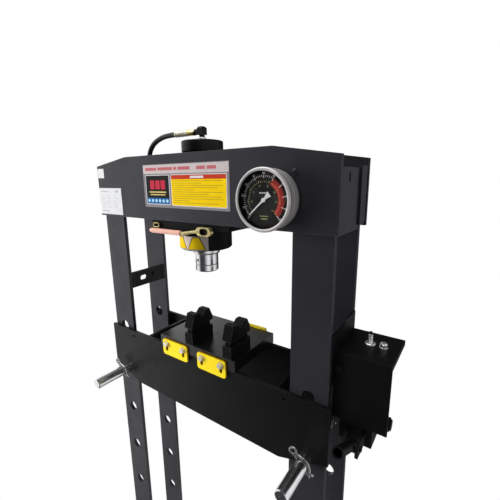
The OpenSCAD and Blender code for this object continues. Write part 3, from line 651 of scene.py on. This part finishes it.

# route of the hose, the same points as in the part's source: the arc to the left, as
# (x from the cylinder, share of the run's depth, z from the elbow), then the run along the beam, as
# (share of its length, share of its depth, z from the beam's underside)
loop_points = [
    (-90, 0, 0), (-96, 0, 0), (-103, 0, -0.1), (-117, 0, -0.7), (-130, 0, -1.9), (-142, 0, -4),
    (-155, 0, -7.6), (-166, 0, -12), (-176, 0, -17.5), (-184, 0, -24), (-191, 0, -32),
    (-196, 0, -41), (-199, 0, -51), (-200, 0.02, -63), (-199, 0.05, -77), (-196, 0.11, -91),
    (-190, 0.2, -104), (-181, 0.32, -115), (-170, 0.47, -123), (-157, 0.61, -129),
    (-142, 0.74, -133), (-125, 0.85, -136), (-107, 0.94, -138), (-89, 0.98, -139)]
run_points = [
    (0.06, 1, 68), (0.13, 1, 67), (0.2, 1, 66), (0.27, 1, 65), (0.34, 1, 64), (0.4, 0.98, 63),
    (0.46, 0.94, 62), (0.52, 0.85, 61), (0.58, 0.74, 60), (0.63, 0.61, 59), (0.68, 0.48, 58),
    (0.735, 0.35, 56), (0.785, 0.24, 53), (0.83, 0.16, 48), (0.875, 0.1, 40), (0.913, 0.05, 29),
    (0.945, 0.02, 15), (0.968, 0, -2), (0.984, 0, -21), (0.993, 0, -42), (0.998, 0, -66)]
run_y = BEAM_Y + 20 * MM
run_x = CYL_X - 89 * MM
end_x = BLOCK_LO.x - 12 * MM
bend = 57 * MM
bend_x = end_x - 5 * MM
hose_x = bend_x - bend
leg_top = BEAM_Z - 92 * MM
leg_l = leg_top - PORT_Z - bend - 20 * MM
route = [(CYL_X + x * MM, q * run_y, ELBOW_Z + z * MM) for x, q, z in loop_points]
route += [(run_x + (hose_x - run_x) * u, q * run_y, BEAM_Z + z * MM) for u, q, z in run_points]
route += [(hose_x, 0, leg_top - k / 6 * leg_l) for k in range(7)]
route += [(bend_x - bend * math.cos(math.radians(a)), 0, PORT_Z + bend * (1 - math.sin(math.radians(a))))
          for a in range(0, 91, 15)]
route += [(end_x, 0, PORT_Z)]
hose = tube("hose_cover", smooth_line(route, 5), 6.4 * MM, "hose_rubber", sides=32)
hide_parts("hose")

# ---------------------------------------------------------------- gauge
gauge_r = GAUGE_R / MM
gauge_at = (GAUGE_X, GAUGE_Y, GAUGE_Z)
bezel = lathe("gauge_bezel_turned",
              [(gauge_r - 6, -1.4), (gauge_r - 4.2, -0.2), (gauge_r - 2.6, 0), (gauge_r - 0.8, -0.8),
               (gauge_r, -2.4), (gauge_r, -9), (gauge_r - 1, -10), (gauge_r - 2.4, -10), (gauge_r - 2.4, -6),
               (gauge_r - 6, -6), (gauge_r - 6, -1.4)],
              gauge_at, FRONT, "gauge_steel", steps=160, soft=0.0008)
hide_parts("gauge_bezel")
back = (BEAM_Y - GAUGE_Y) / MM
ridge_l = (back - 19) / 3
ridges = [(gauge_r - 2.9 + 1.1 * math.sin(math.pi * k / 8), -12.2 - (n + k / 8) * ridge_l)
          for n in range(3) for k in range(8)]
case = lathe("gauge_case_turned",
             [(gauge_r - 5, -6.2), (gauge_r - 2.6, -6.2), (gauge_r - 2.6, -11.4)] + ridges
             + [(gauge_r - 2.9, -back + 6.8), (gauge_r - 2.9, -back + 4.4), (gauge_r - 6, -back + 2.2),
                (16, -back + 2.2), (16, -back + 0.1), (0, -back + 0.1)],
             gauge_at, FRONT, "case_steel", steps=160, soft=0)
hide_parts("gauge_case")
lathe("gauge_inner_wall", [(gauge_r - 6.1, -1.6), (gauge_r - 6.1, -6), (gauge_r - 5.2, -8.9)],
      gauge_at, FRONT, "seal_rubber", steps=128, soft=0)
lathe("gauge_stub", [(11, -back - 0.5), (11, -back - 22), (9, -back - 22), (0, -back - 22)], gauge_at, FRONT,
      "brass_fitting", steps=48)


# the clock angle of the scale's first mark, the turn from it to the last, and the needle's slope
START, SWEEP = 225.0, 270.0
NEEDLE_SLOPE = math.radians(222)
PRINT = 0.10 * MM


def on_scale(share):
    """The clock angle at a share of the scale."""
    return START + SWEEP * share


def on_dial(radius, clock):
    """A point on the dial: radius in millimetres, clock in degrees clockwise from the top."""
    a = math.radians(clock)
    return (GAUGE_X + radius * MM * math.sin(a), GAUGE_Z + radius * MM * math.cos(a))


def arc_band(r0, r1, start, end, steps=48):
    """A band between two radii, from one clock angle to another."""
    angles = [start + (end - start) * k / steps for k in range(steps + 1)]
    return [on_dial(r1, a) for a in angles] + [on_dial(r0, a) for a in reversed(angles)]


def tick(r0, r1, clock, width):
    """A mark that points at the dial's centre."""
    a = math.radians(clock)
    sx, sz = math.cos(a) * width / 2 * MM, -math.sin(a) * width / 2 * MM
    (x0, z0), (x1, z1) = on_dial(r0, clock), on_dial(r1, clock)
    return [(x0 - sx, z0 - sz), (x1 - sx, z1 - sz), (x1 + sx, z1 + sz), (x0 + sx, z0 + sz)]


def numerals(name, values, radius, size, material):
    """The numbers of a dial scale, upright, as thin print."""
    parts = []
    for i, value in enumerate(values):
        text = bpy.data.curves.new(name, "FONT")
        text.body = str(value)
        text.size = size * MM
        text.align_x = "CENTER"
        text.align_y = "CENTER"
        holder = bpy.data.objects.new(name, text)
        scene.collection.objects.link(holder)
        x, z = on_dial(radius, on_scale(i / (len(values) - 1)))
        upright = Matrix.Rotation(math.pi / 2, 4, "X")
        holder.matrix_world = Matrix.Translation((x, DIAL_Y - 0.12 * MM, z)) @ upright
        bpy.context.view_layer.update()
        flat = holder.evaluated_get(bpy.context.evaluated_depsgraph_get())
        mesh = bpy.data.meshes.new_from_object(flat)
        mesh.transform(holder.matrix_world)
        parts.append(mesh)
        bpy.data.objects.remove(holder)
    bm = bmesh.new()
    for mesh in parts:
        bm.from_mesh(mesh)
        bpy.data.meshes.remove(mesh)
    joined = bpy.data.meshes.new(name)
    bm.to_mesh(joined)
    bm.free()
    joined.materials.clear()
    joined.materials.append(MATERIALS[material])
    obj = bpy.data.objects.new(name, joined)
    scene.collection.objects.link(obj)
    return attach(obj, "frame")


def dash(x0, x1, z0, z1):
    """A bar of the dial's print, measured from its centre."""
    return outline(GAUGE_X + x0 * MM, GAUGE_X + x1 * MM, GAUGE_Z + z0 * MM, GAUGE_Z + z1 * MM)


def dial_film(name, fields, layer, material):
    """Print on the dial; layer 0 lies on its face and each further layer on the last."""
    slabs(name, fields, DIAL_Y - layer * PRINT, PRINT, material)


dial_film("dial_red_zone", [arc_band(29.5, 41.5, on_scale(0.6), on_scale(1.0))], 0, "scale_red")
outer = [tick(38.6 if k % 5 == 0 else 40.2, 43.4, on_scale(k / 50), 1.1 if k % 5 == 0 else 0.65)
         for k in range(30)]
dial_film("dial_outer_ticks", outer, 0, "scale_white")
zone = [tick(33.0 if k % 5 == 0 else 36.0, 41.5, on_scale(k / 100), 0.7) for k in range(61, 100)]
dial_film("dial_zone_ticks", zone, 1, "dial_face")
marks = [tick(37.0, 44.0, on_scale(k / 10), 1.0) for k in range(6, 11)]
dial_film("dial_zone_marks", marks, 2, "scale_white")
inner = [tick(31.0, 34.6 if k % 5 == 0 else 33.4, on_scale(k / 35), 1.1 if k % 5 == 0 else 0.65)
         for k in range(36)]
dial_film("dial_inner_ticks", inner, 1, "scale_green")
needle = []
for along, across in ((-16.4, -5.5), (-4, -1.7), (40, -0.5), (40, 0.5), (-4, 1.7), (-16.4, 5.5)):
    needle.append((GAUGE_X + (along * math.cos(NEEDLE_SLOPE) - across * math.sin(NEEDLE_SLOPE)) * MM,
                   GAUGE_Z + (along * math.sin(NEEDLE_SLOPE) + across * math.cos(NEEDLE_SLOPE)) * MM))
pointer = slabs("gauge_needle", [needle], GAUGE_Y + 7.7 * MM, 1 * MM, "pointer_white", "pointer")
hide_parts("gauge_pointer")
lathe("gauge_needle_hub", [(0, 0), (4, 0), (4, 1.5), (3.5, 2), (0, 2)],
      (GAUGE_X, GAUGE_Y + 8 * MM, GAUGE_Z), FRONT, "pointer_white", "pointer", 48, 0.0002)
numerals("dial_outer_numbers", range(0, 101, 10), 46.6, 5.6, "scale_white")
numerals("dial_inner_numbers", range(0, 15, 2), 25.5, 5.0, "scale_green")
dial_film("dial_upper_line", [dash(-9 + k * 4.4, -6 + k * 4.4, 11.5, 13.5) for k in range(4)], 0,
          "scale_white")
dial_film("dial_lower_line", [dash(-9, 9, -29, -27.8), dash(-6, 7, -34, -32.4)], 0, "scale_green")

# ---------------------------------------------------------------- printed panel on the beam
FILM = 0.12 * MM


def panel(x0, x1, z0, z1, r=0.0):
    """A field on the main panel; x from the panel's left edge, z from the underside of the beam."""
    return outline(PANEL_X + x0 * MM, PANEL_X + x1 * MM, BEAM_Z + z0 * MM, BEAM_Z + z1 * MM, r * MM)


def small_print(x0, x1, z_top, pitch, height, lengths):
    """Lines of small print, each drawn as one plain bar."""
    return [panel(x0, x0 + (x1 - x0) * share, z_top - i * pitch - height, z_top - i * pitch)
            for i, share in enumerate(lengths)]


def film(name, fields, layer, material):
    """Print on the label plates; layer 0 lies on the plate and each further layer on the last."""
    slabs(name, fields, PANEL_Y - layer * FILM, FILM, material)


film("panel_head_strip", [panel(1.5, 268.5, 110.5, 130.5, 1)], 0, "pale_film")
words = [(9, 50), (54, 104), (108, 118), (122, 160), (180, 205), (210, 236)]
film("panel_head_bars", [panel(a, b, 117.5, 124.5, 1) for a, b in words], 1, "rose_film")
film("panel_black_edge", [panel(7.5, 92.5, 38, 107.5, 3)], 0, "white_film")
film("panel_black_field", [panel(9.3, 90.7, 39.6, 106, 2)], 1, "black_film")
red_bars = [panel(24, 39.5, 74, 95, 2.5), panel(43, 58.5, 74, 95, 2.5), panel(62, 77.5, 74, 95, 2.5)]
film("panel_red_bars", red_bars, 2, "crimson_film")
film("panel_yellow_bars", [panel(20, 80, 66, 69, 1), panel(23, 77, 60, 62.6, 1)], 2, "sand_film")
film("panel_blue_strip", [panel(9.3, 90.7, 40, 53.5, 1.5)], 2, "blue_film")
dots = [panel(13.4 + k * 13, 21.6 + k * 13, 43, 50.8, 3.8) for k in range(6)]
film("panel_white_dots", dots, 3, "sky_film")
film("panel_yellow_edge", [panel(97.5, 263.5, 36.5, 108, 4)], 0, "white_film")
film("panel_yellow_field", [panel(99.2, 261.8, 38.2, 106.4, 3)], 1, "yellow_film")
film("panel_red_strip", [panel(99.2, 261.8, 97, 106.4, 2.5)], 2, "red_film")
film("panel_strip_bars", [panel(160, 200, 99.2, 104, 1)], 3, "white_film")
lengths = (0.96, 0.58, 0.97, 0.88, 0.44, 0.98, 0.72, 0.95, 0.98, 0.35, 0.9)
film("panel_text_lines", small_print(103, 258, 94, 4.9, 1.1, lengths), 2, "brown_film")


def plate_field(x0, x1, z0, z1):
    """A field on the data plate; x from the left end of the beam."""
    return outline(-HALF_L + x0 * MM, -HALF_L + x1 * MM, BEAM_Z + z0 * MM, BEAM_Z + z1 * MM)


plate_faces = [plate_field(1.6, 103.4, 4.6, 75.4), plate_field(2.8, 31.2, 102.8, 127.2)]
film("data_plate_face", plate_faces, 0, "white_film")
table = [plate_field(9, 45, 65, 68), plate_field(77, 90, 64, 69), plate_field(9, 40, 12, 15)]
for k in range(6):
    z = 54 - 6.2 * k
    table += [plate_field(9, 22 + (k * 7) % 13, z, z + 1.3), plate_field(37, 50 + (k * 5) % 10, z, z + 1.3)]
    table += [plate_field(68, 75 + (k * 11) % 18, z, z + 1.3)]
film("data_plate_lines", table, 1, "grey_film")


def wrap(name, material, low, high, z0, z1, proud, steps=40, levels=10):
    """A film bent round the cylinder head; low and high are its first and last angle along its lower
    and upper edge, in degrees from the front, positive to the right."""
    verts = []
    for r in (HEAD_R + proud * MM, HEAD_R - 1 * MM):
        for j in range(levels + 1):
            v = j / levels
            first = low[0] + (high[0] - low[0]) * v
            last = low[1] + (high[1] - low[1]) * v
            z = BEAM_Z + (z0 + (z1 - z0) * v) * MM
            for k in range(steps + 1):
                a = math.radians(first + (last - first) * k / steps)
                verts.append((CYL_X + r * math.sin(a), -r * math.cos(a), z))
    n = steps + 1
    faces = [(j * n + k, j * n + k + 1, (j + 1) * n + k + 1, (j + 1) * n + k)
             for j in range(levels) for k in range(steps)]
    rim = list(range(n)) + [j * n + steps for j in range(1, levels + 1)]
    rim += [levels * n + k for k in range(steps - 1, -1, -1)] + [j * n for j in range(levels - 1, 0, -1)]
    behind = n * (levels + 1)
    faces += [(a, b, b + behind, a + behind) for a, b in zip(rim, rim[1:] + rim[:1])]
    return make(name, verts, faces, material, "frame", 40.0)


wrap("head_band", "cream_film", (-60, 47), (-60, 47), -69, -36, 0.25)
wrap("head_band_edge_left", "black_film", (-41, -1), (-29.5, -12.5), -67.5, -37.5, 0.36)
wrap("head_band_edge_right", "black_film", (1, 42), (13, 30), -67.5, -37.5, 0.36)
wrap("head_band_field_left", "yellow_film", (-39, -3), (-28, -14), -66.3, -38.7, 0.48)
wrap("head_band_field_right", "yellow_film", (3, 40), (14.5, 28.5), -66.3, -38.7, 0.48)

# ---------------------------------------------------------------- small hardware and welds
lathe("beam_bolt", [(0, -2), (5.4, -2), (5.4, 0.6), (4.6, 2.2), (2.6, 3.2), (0, 3.5)],
      (267 * MM, BEAM_Y, BEAM_Z + 108 * MM), FRONT, "anthracite_paint", steps=48, soft=0.0003)
hinge = next(j for j in frame["record"]["behaviour"]["joints"] if j["name"] == "clamp_turn")["pos_m"]
oval_ring("clamp_eye_socket",
          [(0.1, -6.2), (6.2, -6.2), (6.2, -0.8), (6.6, 0.1), (7.3, 0.1), (7.3, -0.3), (7.0, -0.6),
           (7.0, -6.8)],
          (hinge[0] + 1.5 * MM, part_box("clamp_lever")[0].y, hinge[2]), 3.0, "seal_rubber", "clamp")
oval_ring("clamp_bush_ring",
          [(3.6, -0.8), (3.6, 0.1), (4.0, 0.5), (5.3, 0.5), (5.9, 0.1), (5.9, -3.0)],
          (CYL_X - 85 * MM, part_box("clamp_bar")[0].y, BEAM_Z - 12 * MM), 5.8, "yellow_zinc")
breather_at = (BREATHER_LO.x + 10 * MM, BREATHER_LO.y + 10 * MM, TANK_TOP)
ribs = []
for rib in range(4):
    start = 6.4 + rib * 3.8
    ribs += [(4.5, start), (3.7, start + 0.8), (3.7, start + 2.0), (4.5, start + 2.8)]
breather = lathe("tank_breather",
                 [(0, -3), (6, -3), (6, 0), (9.6, 0), (10, 0.6), (10, 4.4), (8.6, 5.6), (4.5, 5.6)] + ribs
                 + [(4.5, 22.4), (3.6, 23), (0, 23)],
                 breather_at, UP, "zinc_plate", steps=64, soft=0.0003)
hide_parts("tank_caps")
lathe("tank_breather_tip", [(0, 22.9), (3.2, 22.9), (3.6, 23.6), (3.4, 27), (2.6, 28), (0, 28)],
      breather_at, UP, "seal_rubber", steps=40, soft=0.0003)
plug_x, plug_y = breather_at[0] + 24 * MM, breather_at[1] + 3 * MM
plug_at = (plug_x, plug_y, TANK_TOP)
lathe("tank_plug_washer", [(0, 0.05), (8, 0.05), (8, 1.8), (7.4, 2.3), (0, 2.3)],
      plug_at, UP, "zinc_plate", steps=48, soft=0.0003)
hexagon("tank_plug", (plug_x, plug_y, TANK_TOP + 2.2 * MM), UP, 13.4, 6.4, "zinc_plate", turn=20)
lathe("tank_plug_dome", [(6.0, 8.4), (5.4, 9.8), (3.2, 10.7), (0, 11)],
      plug_at, UP, "zinc_plate", steps=40, soft=0.0003)
for hand, label in ((-1, "left"), (1, "right")):
    lo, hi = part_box("end_plate_" + label)
    x = (lo.x if hand > 0 else hi.x) + hand * 2 * MM
    weld(f"weld_end_{label}", (x, lo.y + 1 * MM, lo.z + 4 * MM), (x, lo.y + 1 * MM, hi.z - 4 * MM), 2.6)
    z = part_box("foot_" + label)[0].z + 8 * MM
    for part in ("front", "rear"):
        lo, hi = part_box(f"post_{part}_{label}")
        y = lo.y if part == "front" else hi.y
        weld(f"weld_foot_{part}_{label}", (lo.x + 3 * MM, y, z), (hi.x - 3 * MM, y, z), 3.4)
lo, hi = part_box("brace_left")
for part, y in (("front", lo.y + 6 * MM), ("rear", hi.y - 6 * MM)):
    weld(f"weld_brace_{part}", (lo.x + 6 * MM, y, lo.z + 3 * MM), (lo.x + 6 * MM, y, hi.z - 3 * MM), 2.6)


# ---------------------------------------------------------------- floor and light
def studio_floor():
    """A pale floor that keeps the press's shadow and turns into the white background away from it."""
    bpy.ops.mesh.primitive_circle_add(vertices=96, radius=6.0, fill_type="NGON", location=(0, 0, -0.0005))
    floor = bpy.context.object
    floor.name = "studio_floor"
    m, t, b = tree("floor_pale")
    b.inputs["Base Color"].default_value = (0.88, 0.88, 0.88, 1)
    b.inputs["Roughness"].default_value = 0.7
    length = node(t, "ShaderNodeVectorMath", operation="LENGTH")
    t.links.new(coords(t), length.inputs[0])
    away = ramp(t, length.outputs["Value"], [(0.42, (0.0,)), (0.68, (1.0,))])
    rays = node(t, "ShaderNodeLightPath")
    white = node(t, "ShaderNodeEmission")
    clear = node(t, "ShaderNodeBsdfTransparent")
    to_camera = maths(t, "MULTIPLY", away, rays.outputs["Is Camera Ray"])
    to_metal = maths(t, "MULTIPLY", away, rays.outputs["Is Glossy Ray"])
    shade = either(t, to_camera, b.outputs[0], white.outputs[0])
    t.links.new(either(t, to_metal, shade, clear.outputs[0]), t.nodes["Material Output"].inputs["Surface"])
    floor.data.materials.append(m)


def room(t, sideways, stops, strength=1.0):
    """A background whose brightness changes from the left of the room, 0, to its right, 1."""
    light = node(t, "ShaderNodeBackground")
    light.inputs["Strength"].default_value = strength
    t.links.new(ramp(t, sideways, stops), light.inputs["Color"])
    return light.outputs[0]


def studio_world():
    """White to the camera; windows on the left, dim in front, and a pale wall on the right for metal."""
    world = bpy.data.worlds.new("studio")
    scene.world = world
    world.use_nodes = True
    t = world.node_tree
    t.nodes.clear()
    split = node(t, "ShaderNodeSeparateXYZ")
    t.links.new(node(t, "ShaderNodeTexCoord").outputs["Generated"], split.inputs[0])
    sideways = maths(t, "ADD", maths(t, "MULTIPLY", split.outputs["X"], 0.5), 0.5)
    lit = room(t, sideways, [(0.0, (0.62, 0.64, 0.72)), (0.25, (0.36, 0.37, 0.42)),
                             (0.5, (0.155, 0.158, 0.175)), (1.0, (0.075, 0.075, 0.083))])
    mirrored = room(t, sideways, [(0.0, (0.95, 0.94, 0.93)), (0.08, (0.90, 0.89, 0.88)),
                                  (0.15, (0.82, 0.82, 0.82)), (0.24, (0.22, 0.22, 0.225)),
                                  (0.31, (0.03, 0.03, 0.032)), (0.66, (0.05, 0.05, 0.052)),
                                  (0.78, (0.45, 0.45, 0.46)), (0.88, (0.80, 0.80, 0.81)),
                                  (1.0, (0.80, 0.80, 0.81))], 1.25)
    seen = node(t, "ShaderNodeBackground")
    seen.inputs["Color"].default_value = (1, 1, 1, 1)
    rays = node(t, "ShaderNodeLightPath")
    around = either(t, rays.outputs["Is Glossy Ray"], lit, mirrored)
    everything = either(t, rays.outputs["Is Camera Ray"], around, seen.outputs[0])
    t.links.new(everything, node(t, "ShaderNodeOutputWorld").inputs[0])


def area(name, place, target, size, power, in_mirrors=True):
    """A rectangular lamp that faces its target; in_mirrors says whether polished metal shows it."""
    lamp = bpy.data.lights.new(name, "AREA")
    lamp.shape = "RECTANGLE"
    lamp.size, lamp.size_y = size
    lamp.energy = power
    obj = bpy.data.objects.new(name, lamp)
    obj.location = place
    obj.rotation_euler = (Vector(target) - Vector(place)).to_track_quat("-Z", "Y").to_euler()
    obj.visible_glossy = in_mirrors
    scene.collection.objects.link(obj)


studio_floor()
studio_world()
area("key_left", (-1.85, -1.15, 1.5), (-0.2, 0, 1.4), (0.8, 1.4), 60, False)
area("top", (-0.4, -0.5, 3.2), (0, 0, 1.3), (1.8, 1.4), 30)
area("back", (-0.9, 2.3, 1.9), (0, 0, 1.0), (1.4, 1.8), 60, False)
